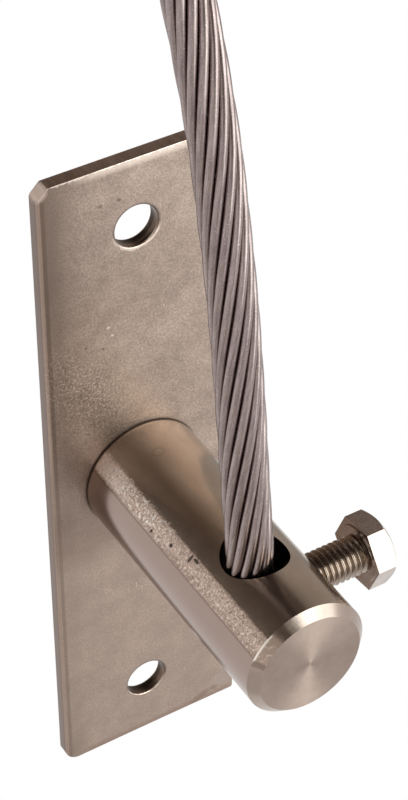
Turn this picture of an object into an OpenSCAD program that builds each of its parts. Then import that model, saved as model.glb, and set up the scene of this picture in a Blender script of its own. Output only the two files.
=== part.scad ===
// Conductor tensioning bracket: a flat wall plate with a round post, through which a bare
// stranded conductor passes, held by a hexagon clamp bolt screwed into the post's side.
// The origin is on the plate's back face, midway between the two wall bolt holes. +Z runs up
// the plate and along the conductor, the post stands towards -Y and the bolt's head faces +X.

/* [Mounting plate] */
// Width of the plate
plate_w = 42; // [38:1:60]
// How far the plate's middle lies to the right of its holes
plate_shift = 0.9; // [0:0.1:2]
// Height of the plate
plate_h = 150; // [120:1:200]
// Thickness of the plate
plate_t = 3; // [2.5:0.5:6]
// Straight cut across each of the plate's two upper corners
top_corner_cut = 2.5; // [0.5:0.5:6]
// Radius of the plate's lower left corner
left_corner_r = 3.5; // [0.5:0.5:6]
// Radius of the plate's lower right corner
right_corner_r = 1; // [0.5:0.5:6]
// Radius along the rolled long edges
edge_r = 0.7; // [0.2:0.1:1.2]
// Diameter of the two wall bolt holes
wall_hole_d = 9; // [6:0.5:12]
// Distance between the two wall bolt holes
wall_hole_spacing = 120; // [80:1:120]
// Countersunk break at the rims of the wall bolt holes
wall_hole_break = 0.3; // [0.1:0.1:0.6]

/* [Post] */
// Diameter of the post
post_d = 25; // [22:0.5:32]
// Length of the post from the plate's front face to its end
post_len = 60; // [50:1:90]
// Chamfer round the end of the post
post_chamfer = 1.75; // [0.5:0.25:3]
// Break on the edge of the post that stands on the plate
post_foot_break = 0.3; // [0.1:0.1:0.8]
// Diameter of the spigot that passes through the plate
spigot_d = 12; // [8:0.5:16]
// Width and depth of the weld groove behind the plate
weld_w = 2; // [1:0.25:2.25]

/* [Conductor] */
// Diameter of each wire
wire_d = 1.78; // [1.6:0.02:1.86]
// Length of one turn of the twelve outer wires
outer_lay = 110; // [90:5:160]
// Length of one turn of the six inner wires, laid the other way
inner_lay = 75; // [60:5:120]
// Turn of the whole conductor about its own axis
lay_phase = 18; // [0:1:30]

/* [Conductor hole] */
// Diameter of the hole through the post
cross_hole_d = 13; // [11:0.5:14]
// Distance of the hole's axis from the end of the post
cross_hole_from_end = 19; // [14:0.5:24]
// Direction in which the bolt presses the conductor, turned from -X towards -Y
seat_angle = 24; // [0:1:30]

/* [Clamp bolt] */
// Thread diameter of the clamp bolt
bolt_d = 8; // [6:1:10]
// Length of the clamp bolt under its head
bolt_len = 20; // [16:1:35]
// Width across the flats of the head
head_af = 13; // [10:1:17]
// Height of the head
head_h = 5.3; // [4:0.1:7]
// Distance of the head's flat end inside its flats
crown_break = 0.8; // [0.2:0.1:1.2]
// Angle of the chamfer round the head
crown_angle = 35; // [20:1:40]
// Turn of the head about the bolt's axis
head_turn = 23; // [0:1:60]
// Point chamfer of the clamp bolt
bolt_point = 1.2; // [0.5:0.1:1.5]
// Countersink of the threaded hole for the clamp bolt
thread_mouth = 0.7; // [0.2:0.1:1.2]

/* [Clearances] */
// Gap between the bolt's thread and the threaded hole, on the radius
thread_gap = 0.05; // [0.01:0.01:0.1]
// Gap between the conductor and what it bears on
seat_gap = 0.1; // [0.05:0.01:0.2]
// Play between neighbouring wires
wire_play = 0.06; // [0.04:0.01:0.1]
// Gap round the spigot and the weld metal
weld_gap = 0.02; // [0.01:0.01:0.05]

/* [Hidden] */
plate_left = plate_shift - plate_w / 2;
plate_right = plate_shift + plate_w / 2;
plate_front_y = -plate_t;
post_end_y = plate_front_y - post_len;
clamp_y = post_end_y + cross_hole_from_end;
strand_r = 2.5 * wire_d;
drawn_wire_r = (wire_d - wire_play) / 2;
seat_offset = cross_hole_d / 2 - strand_r - seat_gap;
seat_x = -seat_offset * cos(seat_angle);
seat_y = clamp_y - seat_offset * sin(seat_angle);
bolt_tip_x = seat_x + strand_r + seat_gap;
head_x = bolt_tip_x + bolt_len;
head_r = head_af / 2;
head_crown = head_r - crown_break;
crown_slope = tan(crown_angle);
overcut = 1;

// The conductor's centre line: how far it leans to X and Y at each height. It is straight
// through the post and then bends gently back towards the wall.
conductor_lean = [
    [0, 0, -15], [0, 0, -5], [0, 0, 5], [0, 0, 15],
    [0, 1.2, 25], [0, 2.4, 35], [0.1, 3.7, 45], [0.2, 5.2, 55],
    [0.3, 6.8, 65], [0.3, 8.6, 75], [0.2, 10.5, 85], [0.1, 12.6, 95],
    [-0.3, 14.9, 105], [-0.8, 17.4, 115], [-1.6, 20, 125], [-2.1, 21.4, 130]
];
lean_steps = len(conductor_lean) - 1;
rings_per_step = 2;
wire_sides = 8;
outer_wires = 12;
inner_wires = 6;

$fn = 96;

// The flat bar's cross section, with rolled edges
module bar_section() {
    square([plate_w, plate_t - 2 * edge_r], center = true);
    square([plate_w - 2 * edge_r, plate_t], center = true);
    for (x = [-1, 1], y = [-1, 1])
        translate([x * (plate_w / 2 - edge_r), y * (plate_t / 2 - edge_r)]) circle(edge_r);
}

// The plate's outline: the upper corners are cut off, the lower ones are rounded
module plate_outline() {
    top = plate_h / 2;
    polygon([
        [plate_left, left_corner_r - top], [plate_left + left_corner_r, -top],
        [plate_right - right_corner_r, -top], [plate_right, right_corner_r - top],
        [plate_right, top - top_corner_cut], [plate_right - top_corner_cut, top],
        [plate_left + top_corner_cut, top], [plate_left, top - top_corner_cut]
    ]);
    translate([plate_left + left_corner_r, left_corner_r - top]) circle(left_corner_r);
    translate([plate_right - right_corner_r, right_corner_r - top]) circle(right_corner_r);
}

// Turns a profile of radius and height to stand along -Y from the plane at y
module turned(y) {
    translate([0, y, 0]) rotate([90, 0, 0]) rotate_extrude() children();
}

// One wall bolt hole with both rims broken
module wall_hole(z) {
    r = wall_hole_d / 2;
    b = wall_hole_break;
    translate([0, 0, z]) turned(overcut) polygon([
        [0, 0], [r + b + overcut, 0], [r, b + overcut], [r, overcut + plate_t - b],
        [r + b + overcut, plate_t + 2 * overcut], [0, plate_t + 2 * overcut]
    ]);
}

// The plate: a length of flat bar with rolled edges, cut square and drilled
module mounting_plate() {
    r_spigot = spigot_d / 2 + weld_gap;
    r_groove = spigot_d / 2 + weld_w;
    color([0.66, 0.60, 0.55]) difference() {
        intersection() {
            translate([plate_shift, -plate_t / 2, -plate_h / 2 - overcut])
                linear_extrude(plate_h + 2 * overcut) bar_section();
            translate([0, overcut, 0]) rotate([90, 0, 0])
                linear_extrude(plate_t + 2 * overcut) plate_outline();
        }
        for (z = [-1, 1]) wall_hole(z * wall_hole_spacing / 2);
        turned(overcut) polygon([
            [0, 0], [r_groove + overcut, 0], [r_spigot, overcut + weld_w],
            [r_spigot, plate_t + 2 * overcut], [0, plate_t + 2 * overcut]
        ]);
    }
}

// The post: turned bar with a spigot through the plate, cross-drilled for the conductor and
// drilled and tapped from its side for the clamp bolt
module post() {
    r = post_d / 2;
    r_thread = bolt_d / 2 + thread_gap;
    color([0.58, 0.52, 0.47]) difference() {
        turned(0) polygon([
            [0, 0], [spigot_d / 2, 0], [spigot_d / 2, plate_t],
            [r - post_foot_break, plate_t], [r, plate_t + post_foot_break],
            [r, plate_t + post_len - post_chamfer],
            [r - post_chamfer, plate_t + post_len], [0, plate_t + post_len]
        ]);
        translate([0, clamp_y, -r - overcut]) cylinder(h = post_d + 2 * overcut, d = cross_hole_d);
        translate([0, clamp_y, 0]) rotate([0, 90, 0]) cylinder(h = r + overcut, r = r_thread);
        translate([r - thread_mouth - r_thread, clamp_y, 0]) rotate([0, 90, 0])
            cylinder(h = 2 * r_thread + thread_mouth, r1 = 0, r2 = 2 * r_thread + thread_mouth);
    }
}

// The weld that fills the groove round the spigot, ground flush with the plate's back
module rear_weld() {
    r = spigot_d / 2 + weld_gap;
    color([0.50, 0.46, 0.43]) turned(0) polygon([
        [r, 0], [spigot_d / 2 + weld_w - weld_gap, 0], [r, weld_w - 2 * weld_gap]
    ]);
}

// The hexagon-head clamp bolt, threaded to its head, with a chamfered point
module clamp_bolt() {
    r = bolt_d / 2;
    corner = head_r / cos(30);
    color([0.72, 0.67, 0.62]) translate([0, clamp_y, 0]) rotate([0, 90, 0]) {
        rotate_extrude() polygon([
            [0, bolt_tip_x], [r - bolt_point, bolt_tip_x], [r, bolt_tip_x + bolt_point],
            [r, head_x + overcut], [0, head_x + overcut]
        ]);
        intersection() {
            translate([0, 0, head_x]) rotate([0, 0, head_turn])
                cylinder(h = head_h, r = corner, $fn = 6);
            rotate_extrude() polygon([
                [0, head_x], [corner + overcut, head_x],
                [corner + overcut, head_x + head_h - (corner + overcut - head_crown) * crown_slope],
                [head_crown, head_x + head_h], [0, head_x + head_h]
            ]);
        }
    }
}

// A point of the centre line; past either end it runs straight on
function lean_point(i) =
    i < 0 ? 2 * conductor_lean[0] - conductor_lean[1]
    : i > lean_steps ? 2 * conductor_lean[lean_steps] - conductor_lean[lean_steps - 1]
    : conductor_lean[i];

// The smooth centre line at u steps from its lower end
function centre_at(u) =
    let (i = min(floor(u), lean_steps - 1), f = u - i,
         a = lean_point(i - 1), b = lean_point(i), c = lean_point(i + 1), d = lean_point(i + 2))
    [seat_x, seat_y, 0] + b + f * (c - a) / 2
        + f * f * (a - 2.5 * b + 2 * c - 0.5 * d)
        + f * f * f * (1.5 * (b - c) + (d - a) / 2);

// Unit vector
function unit(v) = v / norm(v);

// Centre, and the two directions across the conductor, at u steps from its lower end
function section_at(u) =
    let (t = unit(centre_at(u + 0.05) - centre_at(u - 0.05)),
         e = unit([1, 0, 0] - t.x * t))
    [centre_at(u), e, cross(t, e)];

// One ring of points round a wire that lies lay_r from the centre line and makes one turn
// about it in each length of lay
function wire_ring(u, lay_r, lay, start) =
    let (s = section_at(u),
         angle = start + 360 * (s[0].z - conductor_lean[0].z) / lay,
         centre = s[0] + lay_r * (cos(angle) * s[1] + sin(angle) * s[2]))
    [for (k = [0 : wire_sides - 1])
        let (a = 360 * k / wire_sides)
        centre + drawn_wire_r * (cos(a) * s[1] + sin(a) * s[2])];

// One wire of the conductor: lay is the length of one turn, negative for a left-hand lay
module laid_wire(lay_r, lay, start) {
    rings = lean_steps * rings_per_step;
    points = [for (k = [0 : rings]) each wire_ring(k / rings_per_step, lay_r, lay, start)];
    sides = [for (k = [0 : rings - 1], j = [0 : wire_sides - 1])
        let (a = k * wire_sides + j, b = k * wire_sides + (j + 1) % wire_sides)
        each [[a, a + wire_sides, b], [b, a + wire_sides, b + wire_sides]]];
    bottom = [for (j = [0 : wire_sides - 1]) j];
    top = [for (j = [wire_sides - 1 : -1 : 0]) rings * wire_sides + j];
    color([0.55, 0.51, 0.51]) polyhedron(points, concat([bottom, top], sides));
}

// The straight wire in the middle of the conductor
module core_wire() {
    laid_wire(0, outer_lay, 0);
}

// Wire i of the inner layer
module inner_wire(i) {
    laid_wire(wire_d, -inner_lay, lay_phase + 360 * i / inner_wires);
}

// Wire i of the outer layer
module outer_wire(i) {
    laid_wire(2 * wire_d, outer_lay, lay_phase + 360 * i / outer_wires);
}

mounting_plate();
post();
rear_weld();
clamp_bolt();
core_wire();
for (i = [1 : inner_wires])
    inner_wire(i);
for (i = [1 : outer_wires])
    outer_wire(i);
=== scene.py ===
import math

import bpy
import numpy as np
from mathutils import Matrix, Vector


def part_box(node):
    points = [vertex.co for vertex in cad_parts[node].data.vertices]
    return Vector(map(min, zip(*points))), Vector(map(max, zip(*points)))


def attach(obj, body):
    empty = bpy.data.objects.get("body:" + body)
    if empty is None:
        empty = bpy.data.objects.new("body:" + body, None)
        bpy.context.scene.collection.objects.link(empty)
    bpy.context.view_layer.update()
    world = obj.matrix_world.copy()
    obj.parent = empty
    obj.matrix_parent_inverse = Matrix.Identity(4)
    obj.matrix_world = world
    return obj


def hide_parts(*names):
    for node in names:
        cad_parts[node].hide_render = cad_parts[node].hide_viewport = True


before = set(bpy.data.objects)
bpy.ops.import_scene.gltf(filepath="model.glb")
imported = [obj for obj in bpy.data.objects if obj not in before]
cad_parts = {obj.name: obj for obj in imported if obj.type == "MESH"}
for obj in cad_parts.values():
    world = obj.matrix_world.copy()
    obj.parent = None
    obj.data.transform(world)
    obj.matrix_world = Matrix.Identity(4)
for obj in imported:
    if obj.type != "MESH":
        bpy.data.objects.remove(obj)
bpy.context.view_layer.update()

mm = 0.001
close = 0.01 * mm  # points nearer than this lie at the same place
joined = 0.001 * mm  # points nearer than this become one
past = 10 * mm  # how far a drill or a frame reaches past the work
scene = bpy.context.scene


# small helpers

def linear(red, green, blue):
    # 0 to 255 screen values as the linear colour that the shaders take
    out = []
    for value in (red, green, blue):
        c = value / 255
        out.append(c / 12.92 if c <= 0.04045 else ((c + 0.055) / 1.055) ** 2.4)
    return (*out, 1.0)


def deselectAll():
    if bpy.context.object and bpy.context.object.mode != "OBJECT":
        bpy.ops.object.mode_set(mode="OBJECT")
    bpy.ops.object.select_all(action="DESELECT")


def makeActive(piece):
    deselectAll()
    piece.select_set(True)
    bpy.context.view_layer.objects.active = piece


def settle(piece):
    # the place goes into the mesh, and the object itself sits at the origin
    makeActive(piece)
    bpy.ops.object.transform_apply(location=True, rotation=True, scale=True)


def pickNone(piece, kind):
    # nothing of the piece is left picked, and its edges or faces can then be picked in code
    makeActive(piece)
    bpy.ops.object.mode_set(mode="EDIT")
    bpy.ops.mesh.select_mode(type=kind)
    bpy.ops.mesh.select_all(action="DESELECT")
    leaveEdit()


def pickAll(piece):
    makeActive(piece)
    bpy.ops.object.mode_set(mode="EDIT")
    bpy.ops.mesh.select_all(action="SELECT")


def selectEdges(piece, wanted):
    # picks edges by a test on their two ends, and stays in edit mode
    pickNone(piece, "EDGE")
    points = piece.data.vertices
    for edge in piece.data.edges:
        a, b = (points[i].co for i in edge.vertices)
        edge.select = wanted(a, b)
    bpy.ops.object.mode_set(mode="EDIT")


def selectFaces(piece, wanted):
    pickNone(piece, "FACE")
    for face in piece.data.polygons:
        face.select = wanted(face)
    bpy.ops.object.mode_set(mode="EDIT")


def leaveEdit():
    bpy.ops.object.mode_set(mode="OBJECT")


def applyModifier(piece, kind, **values):
    makeActive(piece)
    modifier = piece.modifiers.new(kind.lower(), kind)
    for name, value in values.items():
        setattr(modifier, name, value)
    bpy.ops.object.modifier_apply(modifier=modifier.name)


def bevelEdges(piece, wanted, width, segments):
    selectEdges(piece, wanted)
    bpy.ops.mesh.bevel(offset=width, segments=segments, affect="EDGES")
    leaveEdit()


def carve(piece, tool, operation="DIFFERENCE"):
    applyModifier(piece, "BOOLEAN", operation=operation, object=tool, solver="EXACT")
    bpy.data.objects.remove(tool, do_unlink=True)


def boxPiece(name, low, high):
    deselectAll()
    bpy.ops.mesh.primitive_cube_add(size=1)
    piece = bpy.context.object
    piece.name = name
    piece.location = [(a + b) / 2 for a, b in zip(low, high)]
    piece.scale = [b - a for a, b in zip(low, high)]
    settle(piece)
    return piece


def rod(name, radius, start, end, sides, endRadius=None):
    # a round bar between two points
    start, end = Vector(start), Vector(end)
    deselectAll()
    bpy.ops.mesh.primitive_cone_add(
        vertices=sides, radius1=radius, radius2=radius if endRadius is None else endRadius,
        depth=(end - start).length,
    )
    piece = bpy.context.object
    piece.name = name
    piece.rotation_mode = "QUATERNION"
    piece.rotation_quaternion = (end - start).to_track_quat("Z", "Y")
    piece.location = (start + end) / 2
    settle(piece)
    return piece


def finishPiece(piece, body, nodes, angle=30):
    pickAll(piece)
    bpy.ops.mesh.remove_doubles(threshold=joined)
    bpy.ops.mesh.normals_make_consistent(inside=False)
    leaveEdit()
    bpy.ops.object.shade_smooth_by_angle(angle=math.radians(angle))
    # large flat faces keep their own normal, so no crease shows across them
    applyModifier(piece, "WEIGHTED_NORMAL", keep_sharp=True, weight=100)
    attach(piece, body)
    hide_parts(*nodes)


# camera

view = {
    "place": (-0.17063, -0.30407, 0.32053),
    "turn": (48.87, -0.06, -31.50),
    "lens": 108,
}


def makeCamera():
    data = bpy.data.cameras.new("viewCamera")
    data.sensor_width = 36
    data.lens = view["lens"]
    data.clip_start = 0.01
    camera = bpy.data.objects.new("viewCamera", data)
    camera.location = view["place"]
    camera.rotation_euler = [math.radians(a) for a in view["turn"]]
    scene.collection.objects.link(camera)
    scene.camera = camera
    print("camera made")


# the stranded conductor

conductor = {
    "wireDiameter": 1.78 * mm,
    "play": 0.02 * mm,
    "outerLay": 110 * mm,
    "innerLay": -75 * mm,
    "phase": 18,
    "outerCount": 12,
    "innerCount": 6,
    "outerSides": 16,
    "innerSides": 8,
    "ringStep": 1.25 * mm,
    "smoothSteps": 24,  # points of the centre line for each step of the route
    "endSlice": 0.1 * mm,
    "smoothAngle": 50,
    # how far the centre line leans to X and Y at each height
    "route": [
        (0, 0, -0.015), (0, 0, -0.005), (0, 0, 0.005), (0, 0, 0.015),
        (0, 0.0012, 0.025), (0, 0.0024, 0.035), (0.0001, 0.0037, 0.045), (0.0002, 0.0052, 0.055),
        (0.0003, 0.0068, 0.065), (0.0003, 0.0086, 0.075), (0.0002, 0.0105, 0.085),
        (0.0001, 0.0126, 0.095), (-0.0003, 0.0149, 0.105), (-0.0008, 0.0174, 0.115),
        (-0.0016, 0.020, 0.125), (-0.0021, 0.0214, 0.130),
    ],
}


def centreLine():
    # evenly spaced points of a smooth line through the route, and its length
    foot = np.array([v.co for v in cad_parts["core_wire"].data.vertices])
    foot = foot[foot[:, 2] < foot[:, 2].min() + conductor["endSlice"]].mean(0)
    lean = np.array(conductor["route"])
    points = lean + [foot[0], foot[1], 0]
    padded = np.vstack([2 * points[0] - points[1], points, 2 * points[-1] - points[-2]])
    dense = []
    for i in range(1, len(padded) - 2):
        a, b, c, d = padded[i - 1:i + 3]
        for f in np.linspace(0, 1, conductor["smoothSteps"], endpoint=False):
            dense.append(
                b + f * (c - a) / 2 + f * f * (a - 2.5 * b + 2 * c - 0.5 * d)
                + f ** 3 * (1.5 * (b - c) + (d - a) / 2)
            )
    dense.append(padded[-2])
    dense = np.array(dense)
    along = np.concatenate([[0], np.cumsum(np.linalg.norm(np.diff(dense, axis=0), axis=1))])
    count = int(along[-1] / conductor["ringStep"]) + 1
    at = np.linspace(0, along[-1], count)
    line = np.stack([np.interp(at, along, dense[:, k]) for k in range(3)], 1)
    return line, float(along[-1])


def crossFrames(line):
    # two directions across the conductor at each of its points
    tangents = np.gradient(line, axis=0)
    tangents /= np.linalg.norm(tangents, axis=1)[:, None]
    first = np.array([1.0, 0, 0]) - tangents[:, :1] * tangents
    first /= np.linalg.norm(first, axis=1)[:, None]
    return first, np.cross(tangents, first)


def wireSurface(line, first, second, layRadius, lay, start, sides, radius):
    # rings of points round one laid wire; each ring starts on the conductor's outer side
    turn = np.radians(start) + 2 * math.pi * (line[:, 2] - line[0, 2]) / lay
    cosine, sine = np.cos(turn)[:, None], np.sin(turn)[:, None]
    outward = cosine * first + sine * second
    centre = line + layRadius * outward
    own = np.gradient(centre, axis=0)
    own /= np.linalg.norm(own, axis=1)[:, None]
    across = outward - (outward * own).sum(1)[:, None] * own
    across /= np.linalg.norm(across, axis=1)[:, None]
    up = np.cross(own, across)
    # the two ends are sawn square to the conductor, not to the wire
    for k in (0, -1):
        across[k] = outward[k]
        up[k] = cosine[k] * second[k] - sine[k] * first[k]
    angles = 2 * math.pi * np.arange(sides) / sides
    cosine, sine = np.cos(angles)[None, :, None], np.sin(angles)[None, :, None]
    ring = cosine * across[:, None, :] + sine * up[:, None, :]
    return centre[:, None, :] + radius * ring


def makeConductor():
    line, length = centreLine()
    first, second = crossFrames(line)
    pitch = conductor["wireDiameter"]
    radius = (pitch - conductor["play"]) / 2
    # each layer: count, distance from the middle, lay, first turn, sides
    layers = [
        (1, 0, conductor["outerLay"], 0, conductor["innerSides"]),
        (
            conductor["innerCount"], pitch, conductor["innerLay"], conductor["phase"],
            conductor["innerSides"],
        ),
        (
            conductor["outerCount"], 2 * pitch, conductor["outerLay"], conductor["phase"],
            conductor["outerSides"],
        ),
    ]
    wires = [
        (layRadius, lay, start + 360 * i / many, sides)
        for many, layRadius, lay, start, sides in layers for i in range(many)
    ]
    points, faces, uvs = [], [], []
    base = 0
    for number, (layRadius, lay, start, sides) in enumerate(wires):
        rings = wireSurface(line, first, second, layRadius, lay, start, sides, radius)
        count = len(rings)
        points.append(rings.reshape(-1, 3))
        step = length / (count - 1)
        for k in range(count - 1):
            for j in range(sides):
                a = base + k * sides + j
                b = base + k * sides + (j + 1) % sides
                faces.append((a, b, b + sides, a + sides))
                u0, u1 = (j / sides + number, (j + 1) / sides + number)
                v0, v1 = k * step, (k + 1) * step
                uvs += [u0, v0, u1, v0, u1, v1, u0, v1]
        faces.append(tuple(base + j for j in reversed(range(sides))))
        faces.append(tuple(base + (count - 1) * sides + j for j in range(sides)))
        uvs += [number, 0] * (2 * sides)
        base += count * sides
    mesh = bpy.data.meshes.new("conductor")
    mesh.from_pydata(np.vstack(points).tolist(), [], faces)
    layer = mesh.uv_layers.new(name="wireUv")
    layer.data.foreach_set("uv", uvs)
    mesh.update()
    piece = bpy.data.objects.new("conductor", mesh)
    scene.collection.objects.link(piece)
    names = ["core_wire"] + [f"inner_wire_{i + 1}" for i in range(conductor["innerCount"])]
    names += [f"outer_wire_{i + 1}" for i in range(conductor["outerCount"])]
    makeActive(piece)
    bpy.ops.object.shade_smooth_by_angle(angle=math.radians(conductor["smoothAngle"]))
    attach(piece, "conductor")
    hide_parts(*names)
    exitPoint = line[np.abs(line[:, 2] - post["radius"]).argmin()]  # where it leaves the post
    print(f"conductor made, {length:.4f} m long, {len(faces)} faces")
    return piece


# the mounting plate

plate = {
    "topCut": 2.5 * mm,
    "leftCornerRadius": 3.5 * mm,
    "rightCornerRadius": 1 * mm,
    "edgeRadius": 0.7 * mm,
    "endBreak": 0.2 * mm,
    "holeSides": 96,
    "holeRadius": 4.5 * mm,
    "holeSpacing": 120 * mm,
    "holeBreak": 0.3 * mm,
    "spigotHole": 6.02 * mm,
    "weldGroove": 2 * mm,
}


def makePlate():
    low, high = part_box("mounting_plate")
    holeHeights = [side * plate["holeSpacing"] / 2 for side in (-1, 1)]
    piece = boxPiece("mountingPlate", low, high)
    # the long edges are rolled round, and then the corners are cut
    bevelEdges(piece, lambda a, b: abs(a.z - b.z) > high.z, plate["edgeRadius"], 5)
    outline = boxPiece("outline", (low.x, low.y - past, low.z), (high.x, high.y + past, high.z))
    corners = [
        (low.x, high.z, plate["topCut"], 1), (high.x, high.z, plate["topCut"], 1),
        (low.x, low.z, plate["leftCornerRadius"], 10), (high.x, low.z, plate["rightCornerRadius"], 5),
    ]
    for x, z, reach, segments in corners:

        def atCorner(a, b):
            return all(abs(p.x - x) + abs(p.z - z) < close for p in (a, b))

        bevelEdges(outline, atCorner, reach, segments)
    carve(piece, outline, "INTERSECT")
    drills = [(plate["holeRadius"], z) for z in holeHeights] + [(plate["spigotHole"], 0)]
    for radius, z in drills:
        carve(piece, rod("drill", radius, (0, past, z), (0, low.y - past, z), plate["holeSides"]))

    def onHoleRim(a, b):
        for middle in holeHeights:
            radii = [math.hypot(p.x, p.z - middle) for p in (a, b)]
            if all(abs(r - plate["holeRadius"]) < close for r in radii):
                return abs(a.y - b.y) < close
        return False

    def onGrooveRim(a, b):
        # the rim of the spigot's hole at the plate's back
        radii = [math.hypot(p.x, p.z) for p in (a, b)]
        return all(
            abs(r - plate["spigotHole"]) < close and abs(p.y - high.y) < close
            for r, p in zip(radii, (a, b))
        )

    def onSawnEdge(a, b):
        # the long edges of the two sawn ends
        return abs(a.y - b.y) < close and all(
            abs(abs(p.z) - high.z) < close and min(abs(p.y - low.y), abs(p.y - high.y)) < close
            for p in (a, b)
        )

    bevelEdges(piece, onHoleRim, plate["holeBreak"], 3)
    bevelEdges(piece, onGrooveRim, plate["weldGroove"], 1)
    bevelEdges(piece, onSawnEdge, plate["endBreak"], 2)
    finishPiece(piece, "bracket", ["mounting_plate"])
    print(f"plate made, {len(piece.data.polygons)} faces")
    return piece


# the post

post = {
    "radius": 12.5 * mm,
    "chamfer": 1.75 * mm,
    "footBreak": 0.3 * mm,
    "spigotRadius": 6 * mm,
    "holeRadius": 6.5 * mm,
    "holeFromEnd": 19 * mm,
    "tapRadius": 4.05 * mm,
    "tapMouth": 0.7 * mm,
    "sides": 192,
    "holeSides": 128,
    "tapSides": 96,
    "rings": 60,
}


def makePost():
    low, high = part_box("post")
    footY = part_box("mounting_plate")[0].y
    holeY = low.y + post["holeFromEnd"]
    piece = rod("post", post["radius"], (0, footY, 0), (0, low.y, 0), post["sides"])
    for y, width, segments in ((low.y, post["chamfer"], 1), (footY, post["footBreak"], 2)):
        bevelEdges(
            piece, lambda a, b: abs(a.y - y) < close and abs(b.y - y) < close, width, segments
        )
    # the spigot grows out of the foot, down through the plate
    selectFaces(piece, lambda face: face.normal.y > 0.99 and len(face.vertices) > 8)
    bpy.ops.mesh.inset(thickness=post["radius"] - post["footBreak"] - post["spigotRadius"])
    bpy.ops.mesh.extrude_region_move(TRANSFORM_OT_translate={"value": (0, high.y - footY, 0)})
    leaveEdit()
    # rings along the side keep its shading true round the holes
    sideTop = footY - post["footBreak"]
    sideLength = footY - low.y - post["footBreak"] - post["chamfer"]
    for k in range(1, post["rings"]):
        y = sideTop - sideLength * k / post["rings"]
        selectFaces(piece, lambda face: abs(face.normal.y) < 0.1 and face.center.y < sideTop)
        bpy.ops.mesh.bisect(plane_co=(0, y, 0), plane_no=(0, 1, 0))
        leaveEdit()
    top = post["radius"] + past
    carve(piece, rod("drill", post["holeRadius"], (0, holeY, -top), (0, holeY, top), post["holeSides"]))
    carve(piece, rod("drill", post["tapRadius"], (0, holeY, 0), (top, holeY, 0), post["tapSides"]))
    mouth = post["tapRadius"] + post["tapMouth"]
    carve(piece, rod(
        "countersink", post["tapRadius"], (post["radius"] - post["tapMouth"], holeY, 0),
        (post["radius"] + post["tapMouth"], holeY, 0), post["tapSides"],
        endRadius=mouth + post["tapMouth"],
    ))
    finishPiece(piece, "bracket", ["post"], angle=25)
    print(f"post made, {len(piece.data.polygons)} faces")
    return piece


# the clamp bolt

bolt = {
    "radius": 3.96 * mm,
    "rootRadius": 3.24 * mm,
    "pitch": 1.25 * mm,
    "point": 1.2 * mm,
    "stepsPerTurn": 48,
    "cutReach": 0.0001 * mm,  # how near the cut a point must lie to be joined to it
    "crestBreak": 0.03 * mm,
    "threadInHead": 1 * mm,
    "acrossFlats": 13 * mm,
    "crownBreak": 0.8 * mm,
    "crownAngle": 35,
    "headTurn": 52.9,
    "crownSides": 128,
    "washerFace": 0.3 * mm,
    "washerRadius": 5.9 * mm,
    "washerSides": 96,
    "headHeight": 5.3 * mm,
}


def makeThread(tipX, headX, axisY):
    # one pitch of the thread's section, wound along +X
    pitch, crest, root = bolt["pitch"], bolt["radius"], bolt["rootRadius"]
    shoulder = crest - bolt["crestBreak"]
    # shares of the pitch, each with its radius
    section = [
        (0.0, root), (0.10, root), (0.44, shoulder), (0.47, crest), (0.56, crest),
        (0.59, shoulder), (0.93, root), (1.0, root),
    ]
    mesh = bpy.data.meshes.new("thread")
    startX = tipX - 2 * pitch
    points = [(startX + share * pitch, radius, 0) for share, radius in section]
    mesh.from_pydata(points, [(i, i + 1) for i in range(len(points) - 1)], [])
    piece = bpy.data.objects.new("clampBolt", mesh)
    scene.collection.objects.link(piece)
    turns = int((headX - startX) / pitch) + 3  # it starts and ends past its two square cuts
    applyModifier(
        piece, "SCREW", axis="X", angle=2 * math.pi, screw_offset=pitch, iterations=turns,
        steps=bolt["stepsPerTurn"], render_steps=bolt["stepsPerTurn"], use_merge_vertices=True,
        merge_threshold=joined,
    )
    piece.location = (0, axisY, 0)
    settle(piece)
    pickAll(piece)
    bpy.ops.mesh.remove_doubles(threshold=2 * joined)
    for x, side in ((tipX, -1), (headX + bolt["threadInHead"], 1)):
        bpy.ops.mesh.select_all(action="SELECT")
        bpy.ops.mesh.bisect(
            plane_co=(x, 0, 0), plane_no=(side, 0, 0), threshold=bolt["cutReach"],
            clear_outer=True, use_fill=True,
        )
    leaveEdit()
    # the point is chamfered: what stands outside the cone is drawn in to it
    for vertex in piece.data.vertices:
        reach = bolt["radius"] - bolt["point"] + (vertex.co.x - tipX)
        y, z = vertex.co.y - axisY, vertex.co.z
        radius = math.hypot(y, z)
        if radius > reach:
            vertex.co.y = axisY + y * reach / radius
            vertex.co.z = z * reach / radius
    return piece


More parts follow.
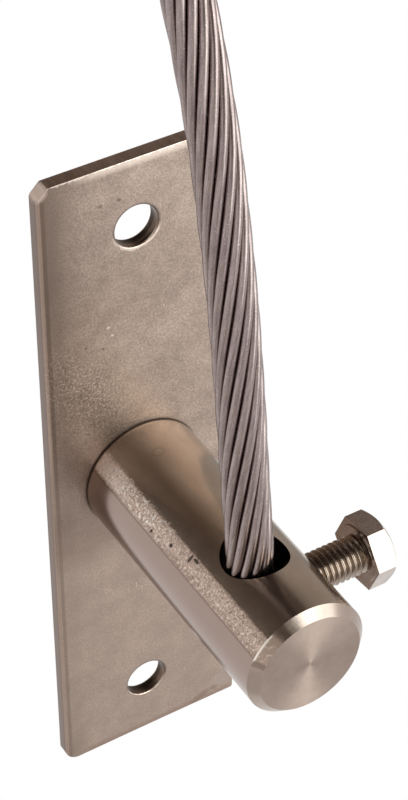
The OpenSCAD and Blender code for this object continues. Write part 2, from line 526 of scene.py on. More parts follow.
def makeHead(headX, axisY):
    corner = bolt["acrossFlats"] / 2 / math.cos(math.radians(30))
    height = bolt["headHeight"]
    deselectAll()
    bpy.ops.mesh.primitive_cylinder_add(vertices=6, radius=corner, depth=height - bolt["washerFace"])
    piece = bpy.context.object
    piece.name = "boltHead"
    # one corner of the hexagon stands headTurn from +Y towards +Z, and the axis lies along X
    firstCorner = piece.data.vertices[0].co
    turn = math.radians(bolt["headTurn"]) - math.atan2(firstCorner.y, firstCorner.x)
    for vertex in piece.data.vertices:
        a = math.atan2(vertex.co.y, vertex.co.x) + turn
        along = vertex.co.z + (height + bolt["washerFace"]) / 2
        vertex.co = (headX + along, axisY + corner * math.cos(a), corner * math.sin(a))
    slope = math.tan(math.radians(bolt["crownAngle"]))
    flatRadius = bolt["acrossFlats"] / 2 - bolt["crownBreak"]
    far = corner + 1 * mm
    blank = rod(
        "crown", far, (headX + height - (far - flatRadius) * slope, axisY, 0),
        (headX + height, axisY, 0), bolt["crownSides"], endRadius=flatRadius,
    )
    # the blank's foot is drawn down past the underside
    selectFaces(blank, lambda face: face.normal.x < -0.9)
    bpy.ops.mesh.extrude_region_move(TRANSFORM_OT_translate={"value": (-2 * height, 0, 0)})
    leaveEdit()
    carve(piece, blank, "INTERSECT")
    washer = rod(
        "washerFace", bolt["washerRadius"], (headX, axisY, 0),
        (headX + 2 * bolt["washerFace"], axisY, 0), bolt["washerSides"],
    )
    carve(piece, washer, "UNION")
    return piece


def makeBolt():
    low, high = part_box("clamp_bolt")
    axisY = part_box("post")[0].y + post["holeFromEnd"]
    headX = high.x - bolt["headHeight"]
    piece = makeThread(low.x, headX, axisY)
    head = makeHead(headX, axisY)
    pickAll(piece)
    bpy.ops.mesh.normals_make_consistent(inside=False)
    leaveEdit()
    carve(piece, head, "UNION")
    finishPiece(piece, "clamp_bolt", ["clamp_bolt"], angle=28)
    print(f"bolt made, {len(piece.data.polygons)} faces")
    return piece


# materials


def blankTree(owner, outputKind):
    # an emptied node tree, and the socket that its surface goes into
    owner.use_nodes = True
    tree = owner.node_tree
    tree.nodes.clear()
    return tree, tree.nodes.new(outputKind).inputs["Surface"]


def newGroup(name, inputs, outputs):
    tree = bpy.data.node_groups.new(name, "ShaderNodeTree")
    for label, kind, value in inputs:
        socket = tree.interface.new_socket(
            name=label, in_out="INPUT", socket_type="NodeSocket" + kind
        )
        if value is not None:
            socket.default_value = value
    for label, kind in outputs:
        tree.interface.new_socket(name=label, in_out="OUTPUT", socket_type="NodeSocket" + kind)
    given = tree.nodes.new("NodeGroupInput").outputs
    out = tree.nodes.new("NodeGroupOutput").inputs
    return tree, given, out


def feed(tree, socket, value):
    # a socket takes either another socket or a plain value
    if isinstance(value, bpy.types.NodeSocket):
        tree.links.new(value, socket)
    else:
        socket.default_value = value


def calc(tree, operation, *values):
    node = tree.nodes.new("ShaderNodeMath")
    node.operation = operation
    for socket, value in zip(node.inputs, values):
        feed(tree, socket, value)
    return node.outputs[0]


def vectorCalc(tree, operation, first, second):
    node = tree.nodes.new("ShaderNodeVectorMath")
    node.operation = operation
    feed(tree, node.inputs[0], first)
    feed(tree, node.inputs["Scale" if operation == "SCALE" else 1], second)
    return node.outputs[0]


def ramp(tree, value, low, high, start=0.0, end=1.0):
    # start below low, end above high, and even in between
    node = tree.nodes.new("ShaderNodeMapRange")
    feed(tree, node.inputs["Value"], value)
    feed(tree, node.inputs["From Min"], low)
    feed(tree, node.inputs["From Max"], high)
    feed(tree, node.inputs["To Min"], start)
    feed(tree, node.inputs["To Max"], end)
    return node.outputs["Result"]


def mix(tree, factor, first, second, kind="RGBA"):
    node = tree.nodes.new("ShaderNodeMix")
    node.data_type = kind
    feed(tree, node.inputs["Factor"], factor)
    feed(tree, node.inputs["A"], first)
    feed(tree, node.inputs["B"], second)
    return node.outputs["Result"]


def noiseAt(tree, place, perMetre, detail=2.0, roughness=0.6):
    node = tree.nodes.new("ShaderNodeTexNoise")
    node.inputs["Detail"].default_value = detail
    node.inputs["Roughness"].default_value = roughness
    feed(tree, node.inputs["Vector"], place)
    feed(tree, node.inputs["Scale"], perMetre)
    return node.outputs["Fac"]


def makeGrain():
    # fine grain over broad mottling: a colour, a roughness and a height
    tree, given, out = newGroup(
        "steelGrain",
        [
            ("Place", "Vector", None), ("Light", "Color", (0.6, 0.6, 0.6, 1)),
            ("Dark", "Color", (0.4, 0.4, 0.4, 1)), ("Grain per Metre", "Float", 2500),
            ("Mottle per Metre", "Float", 90), ("Grain Strength", "Float", 0.3),
            ("Smooth", "Float", 0.3), ("Rough", "Float", 0.5),
        ],
        [("Color", "Color"), ("Roughness", "Float"), ("Height", "Float")],
    )
    fine = noiseAt(tree, given["Place"], given["Grain per Metre"], 2, 0.7)
    broad = noiseAt(tree, given["Place"], given["Mottle per Metre"], 5, 0.65)
    mottled = mix(tree, ramp(tree, broad, 0.36, 0.64), given["Dark"], given["Light"])
    speckle = ramp(tree, fine, 0.34, 0.66, -0.5, 0.5)
    level = calc(tree, "MULTIPLY_ADD", speckle, given["Grain Strength"], 1.0)
    tree.links.new(vectorCalc(tree, "SCALE", mottled, level), out["Color"])
    tree.links.new(mix(tree, fine, given["Smooth"], given["Rough"], "FLOAT"), out["Roughness"])
    tree.links.new(fine, out["Height"])
    return tree


def makeRoundMark():
    # 1 inside an ellipsoid and 0 outside, with a ragged edge, and the same for its rim
    tree, given, out = newGroup(
        "roundMark",
        [
            ("Place", "Vector", None), ("Centre", "Vector", (0, 0, 0)), ("Reach", "Vector", (1, 1, 1)),
            ("Turn", "Float", 0), ("Soft", "Float", 0.5), ("Wobble", "Float", 0.3),
            ("Wobble per Metre", "Float", 900),
        ],
        [("Mask", "Float"), ("Ring", "Float")],
    )
    away = vectorCalc(tree, "SUBTRACT", given["Place"], given["Centre"])
    turned = tree.nodes.new("ShaderNodeVectorRotate")
    turned.rotation_type = "Y_AXIS"
    tree.links.new(away, turned.inputs["Vector"])
    tree.links.new(given["Turn"], turned.inputs["Angle"])
    shared = vectorCalc(tree, "DIVIDE", turned.outputs[0], given["Reach"])
    length = tree.nodes.new("ShaderNodeVectorMath")
    length.operation = "LENGTH"
    tree.links.new(shared, length.inputs[0])
    ragged = noiseAt(tree, given["Place"], given["Wobble per Metre"])
    centred = calc(tree, "SUBTRACT", ragged, 0.5)
    distance = calc(tree, "MULTIPLY_ADD", centred, given["Wobble"], length.outputs["Value"])
    inner = calc(tree, "SUBTRACT", 1.0, given["Soft"])
    tree.links.new(ramp(tree, distance, inner, 1.0, 1.0, 0.0), out["Mask"])
    fromRim = calc(tree, "ABSOLUTE", calc(tree, "SUBTRACT", distance, 0.8))
    tree.links.new(ramp(tree, fromRim, 0.0, 0.2, 1.0, 0.0), out["Ring"])
    return tree


def makeBand():
    # 1 where a value lies between two limits, with a soft and ragged edge
    tree, given, out = newGroup(
        "band",
        [
            ("Value", "Float", 0), ("Place", "Vector", None), ("From", "Float", 0),
            ("To", "Float", 1), ("Soft", "Float", 0.1), ("Wobble", "Float", 0),
            ("Wobble per Metre", "Float", 900),
        ],
        [("Mask", "Float")],
    )
    ragged = calc(tree, "SUBTRACT", noiseAt(tree, given["Place"], given["Wobble per Metre"], 3), 0.5)
    value = calc(tree, "MULTIPLY_ADD", ragged, given["Wobble"], given["Value"])
    above = ramp(tree, value, calc(tree, "SUBTRACT", given["From"], given["Soft"]), given["From"])
    below = ramp(tree, value, given["To"], calc(tree, "ADD", given["To"], given["Soft"]), 1.0, 0.0)
    tree.links.new(calc(tree, "MULTIPLY", above, below), out["Mask"])
    return tree


def makeFlecks():
    # small scattered spots, more of them as the share rises
    tree, given, out = newGroup(
        "flecks",
        [("Place", "Vector", None), ("Flecks per Metre", "Float", 2000), ("Share", "Float", 0.3)],
        [("Mask", "Float")],
    )
    spots = noiseAt(tree, given["Place"], given["Flecks per Metre"], 2, 0.6)
    start = calc(tree, "MULTIPLY_ADD", given["Share"], -0.4, 0.7)
    tree.links.new(ramp(tree, spots, start, calc(tree, "ADD", start, 0.06)), out["Mask"])
    return tree


def useGroup(tree, group, **values):
    node = tree.nodes.new("ShaderNodeGroup")
    node.node_tree = group
    for name, value in values.items():
        feed(tree, node.inputs[name.replace("_", " ")], value)
    return node.outputs


def measures(tree, place):
    # what a band can be measured along, in millimetres and degrees
    parts = tree.nodes.new("ShaderNodeSeparateXYZ")
    tree.links.new(place, parts.inputs[0])
    x, y, z = (calc(tree, "MULTIPLY", parts.outputs[k], 1 / mm) for k in range(3))
    squares = calc(tree, "ADD", calc(tree, "MULTIPLY", x, x), calc(tree, "MULTIPLY", z, z))
    angle = calc(tree, "MULTIPLY", calc(tree, "ARCTAN2", x, z), 180 / math.pi)
    upward = calc(tree, "SUBTRACT", calc(tree, "ABSOLUTE", z), plate["holeSpacing"] / 2 / mm)
    fromHole = calc(tree, "ADD", calc(tree, "MULTIPLY", x, x), calc(tree, "MULTIPLY", upward, upward))
    return {
        "x": x, "y": y, "z": z, "radius": calc(tree, "SQRT", squares), "angle": angle,
        "fromHole": calc(tree, "SQRT", fromHole),
    }


def markMask(tree, groups, place, along, mark):
    # where one band or round mark lies, times its strength
    if "at" in mark:
        found = useGroup(
            tree, groups["roundMark"], Place=place, Centre=[c * mm for c in mark["at"]],
            Reach=[c * mm for c in mark["reach"]], Turn=math.radians(mark.get("turn", 0)),
            Soft=mark.get("soft", 0.5), Wobble=mark.get("wobble", 0.3),
        )
        mask = found["Ring" if mark.get("ring") else "Mask"]
    else:
        mask = None
        for axis, low, high, soft, wobble in mark["limits"]:
            found = useGroup(
                tree, groups["band"], Value=along[axis], Place=place, From=low, To=high, Soft=soft,
                Wobble=wobble,
            )
            mask = found["Mask"] if mask is None else calc(tree, "MULTIPLY", mask, found["Mask"])
    if "flecks" in mark:
        perMetre, share = mark["flecks"]
        found = useGroup(tree, groups["flecks"], Place=place, Flecks_per_Metre=perMetre, Share=share)
        mask = calc(tree, "MULTIPLY", mask, found["Mask"])
    return calc(tree, "MULTIPLY", mask, float(mark["strength"]))


def addGrooveShade(tree, groups, place, colour, settings):
    # painted shade darkens the wires where they turn in towards their neighbours, and they have small
    # bright specks
    parts = tree.nodes.new("ShaderNodeSeparateXYZ")
    tree.links.new(place, parts.inputs[0])
    facing = calc(tree, "COSINE", calc(tree, "MULTIPLY", parts.outputs[0], 2 * math.pi))
    low, high, grooveColour = settings["groove"]
    colour = mix(tree, ramp(tree, facing, low, high), grooveColour, colour)
    specks = settings["specks"]
    spots = tree.nodes.new("ShaderNodeMapping")
    spots.inputs["Scale"].default_value = specks["stretch"]
    tree.links.new(place, spots.inputs["Vector"])
    found = useGroup(
        tree, groups["flecks"], Place=spots.outputs[0], Flecks_per_Metre=1, Share=specks["share"]
    )
    return mix(tree, calc(tree, "MULTIPLY", found["Mask"], specks["strength"]), colour, specks["colour"])


def steel(name, groups, settings):
    material = bpy.data.materials.new(name)
    tree, surface = blankTree(material, "ShaderNodeOutputMaterial")
    nodes, links = tree.nodes, tree.links
    shader = nodes.new("ShaderNodeBsdfPrincipled")
    links.new(shader.outputs["BSDF"], surface)
    place = nodes.new("ShaderNodeTexCoord").outputs["UV" if "groove" in settings else "Object"]
    mapping = nodes.new("ShaderNodeMapping")
    mapping.inputs["Scale"].default_value = settings.get("stretch", (1, 1, 1))
    links.new(place, mapping.inputs["Vector"])
    grain = useGroup(tree, groups["steelGrain"], Place=mapping.outputs[0], **settings["grain"])
    colour, rough, height = grain["Color"], grain["Roughness"], grain["Height"]
    if "groove" in settings:
        colour = addGrooveShade(tree, groups, place, colour, settings)
    along = measures(tree, place) if "marks" in settings else None
    for mark in settings.get("marks", []):
        mask = markMask(tree, groups, place, along, mark)
        if "colour" in mark:
            colour = mix(tree, mask, colour, mark["colour"])
        if "roughness" in mark:
            rough = mix(tree, mask, rough, mark["roughness"], "FLOAT")
        if "grit" in mark:
            height = calc(tree, "MULTIPLY", height, calc(tree, "MULTIPLY_ADD", mask, mark["grit"], 1.0))
    links.new(colour, shader.inputs["Base Color"])
    links.new(rough, shader.inputs["Roughness"])
    shader.inputs["Metallic"].default_value = 1
    bump = nodes.new("ShaderNodeBump")
    bump.inputs["Strength"].default_value = settings["bumpStrength"]
    bump.inputs["Distance"].default_value = settings["bumpDepth"]
    links.new(height, bump.inputs["Height"])
    links.new(bump.outputs["Normal"], shader.inputs["Normal"])
    if "anisotropic" in settings:
        # turned rings: the gloss spreads across them, in and out from the middle
        shader.inputs["Anisotropic"].default_value = settings["anisotropic"]
        shader.inputs["Anisotropic Rotation"].default_value = 0.25
        tangent = nodes.new("ShaderNodeTangent")
        tangent.direction_type = "RADIAL"
        tangent.axis = "Y"
        links.new(tangent.outputs["Tangent"], shader.inputs["Tangent"])
    return material


def onPost(y, angle):
    # a point of the post's side, from its place along the post and the angle from straight up
    reach = post["radius"] / mm
    return (reach * math.sin(math.radians(angle)), y, reach * math.cos(math.radians(angle)))


def grainOf(light, dark, perMetre, mottlePerMetre, strength, smooth, rough):
    return {
        "Light": linear(*light), "Dark": linear(*dark), "Grain_per_Metre": perMetre,
        "Mottle_per_Metre": mottlePerMetre, "Grain_Strength": strength, "Smooth": smooth,
        "Rough": rough,
    }


def band(colour, strength, *limits, **more):
    # a mark between limits: what is measured, from, to, softness past each end, raggedness
    mark = {"limits": limits, "strength": strength, **more}
    if colour:
        mark["colour"] = linear(*colour)
    return mark


def spot(colour, strength, at, reach, **more):
    # a mark round a point, as far as its reach along X, Y and Z in millimetres
    return {"colour": linear(*colour), "strength": strength, "at": at, "reach": reach, **more}


frontOnly = ("y", -4, -2.9, 0.05, 0)  # keeps a mark on the plate's front
sideOnly = ("y", -61.2, -3, 0.05, 0.05)  # keeps a mark on the post between foot and chamfer

# later marks lie over earlier ones; flecks are their number per metre and their share
finishes = {
    "plateSteel": {
        "grain": grainOf((184, 166, 153), (165, 147, 136), 2300, 170, 0.48, 0.38, 0.56),
        "bumpStrength": 0.7, "bumpDepth": 0.035 * mm,
        "marks": [
            # the upper and lower left corners are darker
            band((136, 117, 106), 0.75, ("x", -30, -18, 7, 2), ("z", 52, 80, 24, 4)),
            band((112, 94, 84), 0.5, ("x", -30, -18, 5, 2), ("z", -80, -72, 6, 3)),
            # painted shade on the plate's side, a painted highlight on the rolled edge, the brown line
            # inside it and painted shade along its inner side
            band((131, 115, 109), 0.85, ("x", -30, -19.96, 0.04, 0.02)),
            band((188, 165, 151), 0.7, ("x", -19.9, -19.35, 0.12, 0.05)),
            band((112, 90, 78), 0.6, ("x", -19.15, -18.6, 0.3, 0.25)),
            band((128, 112, 100), 0.3, ("x", -18.9, -16.5, 2.0, 1.5)),
            # a painted highlight on the cut upper left corner
            spot((246, 224, 210), 0.6, (-19.4, -1.6, 74.4), (2.2, 3.4, 2.3), soft=0.35, wobble=0.2),
            # a painted highlight along the burr under the sawn upper end, a row of teeth and then a
            # broad painted shine
            band(
                (255, 240, 226), 0.9, ("z", 74.75, 76, 0.12, 3.2), frontOnly, ("x", -17, 30, 1, 1),
                roughness=0.3,
            ),
            band((244, 226, 212), 0.7, ("z", 74.3, 76, 1.2, 0.5), frontOnly, ("x", -9, 30, 5, 2)),
            # brown stains along the lower end
            band((136, 102, 88), 0.6, ("z", -76, -74.1, 0.9, 1.2), frontOnly, ("x", -13, 19, 4, 3)),
            spot((112, 84, 72), 0.6, (13.6, -3, -73.4), (3.2, 1, 1.1), turn=18),
            spot((105, 82, 74), 0.6, (16.8, -3, -72.6), (1.2, 1, 1.0)),
            spot((184, 170, 166), 0.5, (18.2, -3, -70.6), (2.5, 1, 2.5)),
            # small dark marks, a mottled patch above the post and broad painted shade over that
            spot((110, 92, 84), 0.7, (-3.5, -3, 67.2), (0.6, 1, 0.5)),
            spot((124, 106, 96), 0.6, (-7.4, -3, 67.2), (0.7, 1, 0.5)),
            spot(
                (92, 76, 66), 0.5, (-10.5, -3, 22), (8.5, 1, 19), turn=25, soft=0.8, wobble=0.6,
                flecks=(2100, 0.3),
            ),
            spot(
                (232, 214, 198), 0.75, (-11.0, -3, 24), (9, 1, 18), turn=25, soft=0.8, wobble=0.6,
                flecks=(2000, 0.42),
            ),
            # broad painted shade round and below the upper wall hole
            spot((150, 132, 120), 0.2, (-1, -3, 49), (14, 1, 13), soft=0.9, wobble=0.4),
            # painted shade in a line round each wall hole, and painted highlights on the lips and a nick
            # of the upper one
            band((104, 86, 78), 0.45, ("fromHole", 4.5, 4.95, 0.15, 0.3)),
            band((246, 226, 213), 0.75, ("fromHole", 4.4, 5.0, 0.3, 0.9), ("z", 50, 57.5, 2, 2)),
            spot((255, 240, 230), 0.85, (3.9, -3, 57.9), (0.5, 1, 0.9), soft=0.3, wobble=0.5),
            # painted shade on the plate beside and below the post
            band((142, 124, 112), 0.25, ("x", -20, -12, 8, 2), ("z", -12, 8, 8, 3)),
            band((126, 107, 96), 0.45, ("x", -18.5, -3, 3, 2), ("z", -15, -6, 7, 3), frontOnly),
            # the lower half is a little darker
            band((164, 145, 133), 0.45, ("z", -90, -20, 14, 4), ("x", -17, 40, 4, 2)),
            # rows of bright nicks, and four single dots
            spot(
                (244, 228, 214), 0.75, (-8.5, -3, -29.3), (4.2, 1, 0.7), turn=-38, soft=0.4,
                flecks=(2600, 0.2),
            ),
            spot(
                (244, 228, 214), 0.75, (-1.4, -3, -31.6), (3.4, 1, 1.5), turn=-20, soft=0.4,
                flecks=(2300, 0.22),
            ),
            spot((226, 208, 194), 0.5, (6.5, -3, 38.5), (5, 1, 3), soft=0.4, flecks=(2300, 0.15)),
            spot((96, 78, 68), 0.6, (-7.8, -3, 34.6), (0.4, 1, 0.35)),
            spot((96, 78, 68), 0.6, (-11.3, -3, 36.2), (0.35, 1, 0.35)),
            spot((255, 244, 232), 0.55, (-6.5, -3, 39.1), (0.55, 1, 0.3)),
            spot((255, 244, 232), 0.6, (-5.7, -3, 37.0), (0.4, 1, 0.3)),
            # painted shade round the foot of the post
            band((92, 72, 58), 0.6, ("radius", 12.4, 12.55, 0.3, 0.15), frontOnly),
            # straw and brown heat tint round the weld at the back
            band((150, 118, 88), 0.55, ("radius", 7, 10, 1, 4), ("y", -0.6, 0.2, 0.3, 0)),
        ],
    },
    # the sawn ends: streaky saw grain, darkened by painted shade
    "sawnSteelPaintedShade": {
        "grain": grainOf((163, 142, 126), (138, 117, 104), 2600, 260, 0.3, 0.35, 0.5),
        "stretch": (2.5, 0.3, 1),
        "bumpStrength": 0.5, "bumpDepth": 0.02 * mm,
    },
    # the wall holes' bores: darkened by painted shade, most towards the back
    "drilledSteelPaintedShade": {
        "grain": grainOf((128, 107, 93), (70, 56, 48), 2400, 300, 0.4, 0.22, 0.42),
        "stretch": (0.35, 3, 0.35),
        "bumpStrength": 0.4, "bumpDepth": 0.02 * mm,
        "marks": [
            band((40, 32, 28), 0.75, ("y", -1.1, 0.2, 0.7, 0.1)),
        ],
    },
    # the broken rims of the wall holes: a painted highlight, with painted shade on their upper arcs
    "rimSteelPaintedLight": {
        "grain": grainOf((226, 208, 194), (176, 156, 142), 1800, 300, 0.3, 0.2, 0.4),
        "bumpStrength": 0.4, "bumpDepth": 0.02 * mm,
        "marks": [
            band((96, 78, 68), 0.8, ("z", 58.5, 70, 2, 1)),
            band((96, 78, 68), 0.8, ("z", -60.5, -50, 2, 1)),
        ],
    },
    "postSteel": {
        "grain": grainOf((178, 163, 149), (166, 151, 138), 2600, 90, 0.1, 0.14, 0.26),
        "bumpStrength": 0.5, "bumpDepth": 0.012 * mm,
        "marks": [
            # a strip of pitted skin under a painted highlight and painted glints, brightest at the foot
            band(None, 1.0, ("angle", -60, -42, 2, 3), sideOnly, grit=14.0, roughness=0.36),
            band((190, 164, 149), 0.65, ("angle", -61, -41, 2, 4), ("y", -61.2, -3.2, 0.05, 0.05)),
            band((152, 131, 119), 0.55, ("angle", -61.5, -56, 1.0, 2), ("y", -61.2, -3.2, 0.05, 0.05)),
            band(
                (250, 232, 220), 0.75, ("angle", -57, -41, 3, 4), ("y", -10, -1, 6, 1),
                ("y", -61, -3.2, 0.1, 0),
            ),
            band(
                (255, 236, 222), 0.42, ("angle", -60, -43, 2, 4), ("y", -61.2, -3.6, 0.05, 0),
                flecks=(2000, 0.42),
            ),
            band(
                (255, 246, 238), 0.75, ("angle", -58, -41, 2, 4), ("y", -24, -3.6, 8, 0),
                flecks=(1700, 0.4), roughness=0.5,
            ),
            band(
                (96, 76, 66), 0.45, ("angle", -60, -42, 2, 4), ("y", -61.2, -8, 4, 4),
                flecks=(1800, 0.36),
            ),
            # a painted dark line of reflection beside the strip
            band((98, 80, 74), 0.65, ("angle", -62.4, -61.6, 1.0, 0.5), sideOnly),
            # painted reflection over the side beyond the strip
            band((156, 136, 128), 0.8, ("angle", -180, -63, 1.5, 0), ("y", -64, -3, 0.05, 0.05)),
            # pits
            spot((36, 26, 22), 0.9, onPost(-24.5, -57.2), (0.4, 0.4, 0.4), soft=0.35),
            spot((36, 26, 22), 0.9, onPost(-30.6, -51.9), (0.5, 0.45, 0.5), soft=0.35),
            spot((44, 32, 26), 0.85, onPost(-36.2, -46.4), (1.0, 0.4, 1.0), soft=0.35, wobble=0.9),
            spot((44, 32, 26), 0.85, onPost(-37.7, -43.8), (0.4, 1.0, 0.4), soft=0.35, wobble=0.9),
            # the ring that a drop left
            spot((110, 92, 78), 0.35, onPost(-11.6, -6), (1.5, 1.2, 1.5), ring=True, wobble=0.1),
            # a painted highlight round the foot
            band(
                (204, 188, 174), 0.3, ("angle", -40, 60, 8, 6), ("y", -8, -1, 5, 1),
                ("y", -61, -3.2, 0.1, 0),
            ),
            # painted shade at the foot, and a painted highlight along the burr where the end is
            # chamfered
            band((76, 58, 48), 0.75, ("y", -3.4, -2.9, 0.2, 0.2)),
            band((255, 246, 234), 0.9, ("y", -61.34, -61.2, 0.04, 0.05), ("angle", -64, -42, 3, 3)),
        ],
    },
    "postEndSteel": {
        "grain": grainOf((174, 156, 146), (164, 146, 135), 1500, 160, 0.05, 0.46, 0.5),
        "bumpStrength": 0.08, "bumpDepth": 0.01 * mm,
        "anisotropic": 0.78,
    },
    "chamferSteel": {
        "grain": grainOf((188, 173, 162), (176, 160, 149), 1500, 120, 0.06, 0.2, 0.28),
        "bumpStrength": 0.15, "bumpDepth": 0.01 * mm,
        "marks": [
            # painted reflection and shade round the chamfer: darker on the left, the pitted strip with
            # painted glints, a painted dark band beyond it and painted shade on the right
            band((166, 149, 139), 0.6, ("angle", -180, -64, 6, 4)),
            band((170, 148, 133), 0.8, ("angle", -62, -34, 5, 8), roughness=0.5),
            band((246, 228, 214), 0.4, ("angle", -60, -44, 4, 10), flecks=(1700, 0.35)),
            band((96, 78, 66), 0.7, ("angle", -33, -25, 4, 4)),
            band((150, 133, 122), 0.6, ("angle", 14, 90, 10, 6)),
            # a painted highlight along the burr on the outer rim, and a painted dark line of reflection
            # where the pitted strip ends
            band(
                (255, 244, 234), 0.85, ("angle", -63, -38, 3, 4), ("y", -61.42, -61, 0.1, 0.12),
                roughness=0.45,
            ),
            band((112, 92, 80), 0.6, ("angle", -68, -64, 2, 2)),
        ],
    },
    # the cross hole's bore: darkened by painted shade
    "boreSteelPaintedShade": {
        "grain": grainOf((84, 68, 58), (52, 40, 34), 2400, 300, 0.3, 0.3, 0.5),
        "bumpStrength": 0.4, "bumpDepth": 0.02 * mm,
    },
    "boltSteel": {
        "grain": grainOf((190, 176, 167), (174, 160, 151), 2400, 150, 0.08, 0.12, 0.22),
        "bumpStrength": 0.3, "bumpDepth": 0.01 * mm,
        "marks": [
            # the thread is darker and a little rougher
            band((148, 133, 119), 0.85, ("x", 0, 22.6, 0.2, 0), roughness=0.28),
        ],
    },
    "wireSteel": {
        "grain": grainOf((161, 146, 143), (140, 125, 122), 1, 0.25, 0.25, 0.2, 0.3),
        "stretch": (12, 240, 1),
        # painted shade where the wires turn in towards their neighbours
        "groove": (-0.4, 0.4, linear(134, 112, 106)),
        "specks": {
            "stretch": (16, 2900, 1), "share": 0.22, "strength": 0.2, "colour": linear(250, 244, 240),
        },
        "bumpStrength": 0.3, "bumpDepth": 0.01 * mm,
    },
    "weldSteel": {
        "grain": grainOf((158, 142, 132), (124, 106, 96), 2400, 260, 0.3, 0.3, 0.5),
        "bumpStrength": 0.6, "bumpDepth": 0.03 * mm,
    },
}


# floor, backdrop and light


def glowOrPaint(tree, kind, colour, strength=None):
    node = tree.nodes.new(kind)
    node.inputs["Color"].default_value = (*colour, 1)
    if strength is not None:
        node.inputs["Strength"].default_value = strength
    return node.outputs[0]


def whiteWhereSeen(tree, surface, plain, glowKind):
    # camera, mirror and glass rays see flat white, and everything else the plain surface
    rays = tree.nodes.new("ShaderNodeLightPath").outputs
    seen = calc(tree, "MAXIMUM", rays["Is Camera Ray"], rays["Is Glossy Ray"])
    seen = calc(tree, "MAXIMUM", seen, rays["Is Transmission Ray"])
    choice = tree.nodes.new("ShaderNodeMixShader")
    tree.links.new(seen, choice.inputs["Fac"])
    tree.links.new(plain, choice.inputs[1])
    tree.links.new(glowOrPaint(tree, glowKind, (1, 1, 1), 1.0), choice.inputs[2])
    tree.links.new(choice.outputs[0], surface)


studio = {
    "floorZ": -0.30,
    "floorSize": 12,
    "floorPaint": (0.9, 0.9, 0.9),
    "worldLevel": 0.9,
    # cards that only the metal's gloss sees: name, lowest corner, highest corner, colour
    "cards": [
        ("keyCard", (0.12, -1.0, -0.26), (1.8, -1.0, 1.15), (3.35, 3.5, 3.45)),
        ("darkFront", (-0.8, -1.0, 0.04), (0.28, -1.0, 2.6), (0.24, 0.21, 0.18)),
        ("darkBackLeft", (-1.6, 1.0, 0.62), (0.70, 1.0, 2.6), (0.13, 0.10, 0.08)),
        ("greyBackRight", (0.33, 1.0, -0.29), (2.4, 1.0, 2.6), (0.52, 0.47, 0.43)),
        ("darkAbove", (-0.6, -0.99, 1.3), (2.4, 0.99, 1.3), (0.10, 0.08, 0.07)),
        ("greyFloor", (-0.7, -0.95, -0.29), (0.08, -0.12, -0.29), (0.72, 0.70, 0.68)),
        ("greyFloorBack", (0.45, 0.2, -0.29), (1.6, 0.98, -0.29), (0.42, 0.39, 0.37)),
    ],
}


def makeStudio():
    scene.world = bpy.data.worlds.new("studioWorld")
    tree, surface = blankTree(scene.world, "ShaderNodeOutputWorld")
    plain = glowOrPaint(tree, "ShaderNodeBackground", (1, 1, 1), studio["worldLevel"])
    whiteWhereSeen(tree, surface, plain, "ShaderNodeBackground")
    deselectAll()
    bpy.ops.mesh.primitive_plane_add(size=studio["floorSize"], location=(0, 0, studio["floorZ"]))
    floor = bpy.context.object
    floor.name = "floor"
    paint = bpy.data.materials.new("floorWhite")
    tree, surface = blankTree(paint, "ShaderNodeOutputMaterial")
    plain = glowOrPaint(tree, "ShaderNodeBsdfDiffuse", studio["floorPaint"])
    whiteWhereSeen(tree, surface, plain, "ShaderNodeEmission")
    floor.data.materials.append(paint)
    for name, low, high, colour in studio["cards"]:
        deselectAll()
        bpy.ops.mesh.primitive_plane_add(size=1)
        card = bpy.context.object
        card.name = name
        upright = low[1] == high[1]
        card.scale = (high[0] - low[0], high[2] - low[2] if upright else high[1] - low[1], 1)
        card.rotation_euler = (math.radians(90 if upright else 0), 0, 0)
        card.location = [(a + b) / 2 for a, b in zip(low, high)]
        paint = bpy.data.materials.new(name)
        tree, surface = blankTree(paint, "ShaderNodeOutputMaterial")
        level = max(colour)
        glow = glowOrPaint(tree, "ShaderNodeEmission", [c / level for c in colour], level)
        tree.links.new(glow, surface)
        card.data.materials.append(paint)
        card.visible_camera = False
        card.visible_shadow = False
    print("floor, backdrop and light made")


# put together

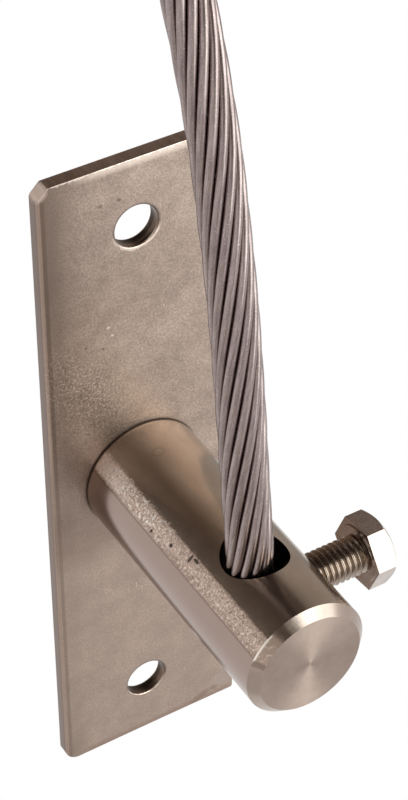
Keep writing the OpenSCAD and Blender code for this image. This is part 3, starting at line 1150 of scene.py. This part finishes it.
makeCamera()
strand = makeConductor()
makeStudio()
plateMesh = makePlate()
postMesh = makePost()
boltMesh = makeBolt()

groups = {
    "steelGrain": makeGrain(), "roundMark": makeRoundMark(), "band": makeBand(), "flecks": makeFlecks(),
}
materials = {name: steel(name, groups, values) for name, values in finishes.items()}


def dress(piece, *names):
    # the first material covers the piece, and paintFaces gives some faces another
    piece.data.materials.clear()
    for name in names:
        piece.data.materials.append(materials[name])


def paintFaces(piece, index, wanted):
    for face in piece.data.polygons:
        if wanted(face):
            face.material_index = index


def inWallHole(face):
    reach = plate["holeRadius"] + plate["holeBreak"] + 2 * close
    x, z = face.center.x, face.center.z
    return any(math.hypot(x, z - side * plate["holeSpacing"] / 2) < reach for side in (-1, 1))


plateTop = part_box("mounting_plate")[1].z
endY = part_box("post")[0].y
crossHoleY = endY + post["holeFromEnd"]


def onSawnEnd(face):
    return abs(face.normal.z) > 0.98 and abs(face.center.z) > plateTop - close


def onPostEnd(face):
    return face.normal.y < -0.99 and face.center.y < endY + close


def onChamfer(face):
    return -0.95 < face.normal.y < -0.4 and face.center.y < endY + post["chamfer"]


def inCrossHole(face):
    reach = post["holeRadius"] + 2 * close
    return math.hypot(face.center.x, face.center.y - crossHoleY) < reach and abs(face.normal.z) < 0.3


dress(plateMesh, "plateSteel", "drilledSteelPaintedShade", "rimSteelPaintedLight", "sawnSteelPaintedShade")
paintFaces(plateMesh, 1, lambda face: inWallHole(face) and abs(face.normal.y) < 0.2)
paintFaces(plateMesh, 2, lambda face: inWallHole(face) and 0.2 <= abs(face.normal.y) < 0.98)
paintFaces(plateMesh, 3, onSawnEnd)
dress(postMesh, "postSteel", "postEndSteel", "boreSteelPaintedShade", "chamferSteel")
paintFaces(postMesh, 1, onPostEnd)
paintFaces(postMesh, 2, inCrossHole)
paintFaces(postMesh, 3, onChamfer)
dress(boltMesh, "boltSteel")
dress(strand, "wireSteel")
dress(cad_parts["rear_weld"], "weldSteel")
print("finishes made")

scene.view_settings.view_transform = "Standard"
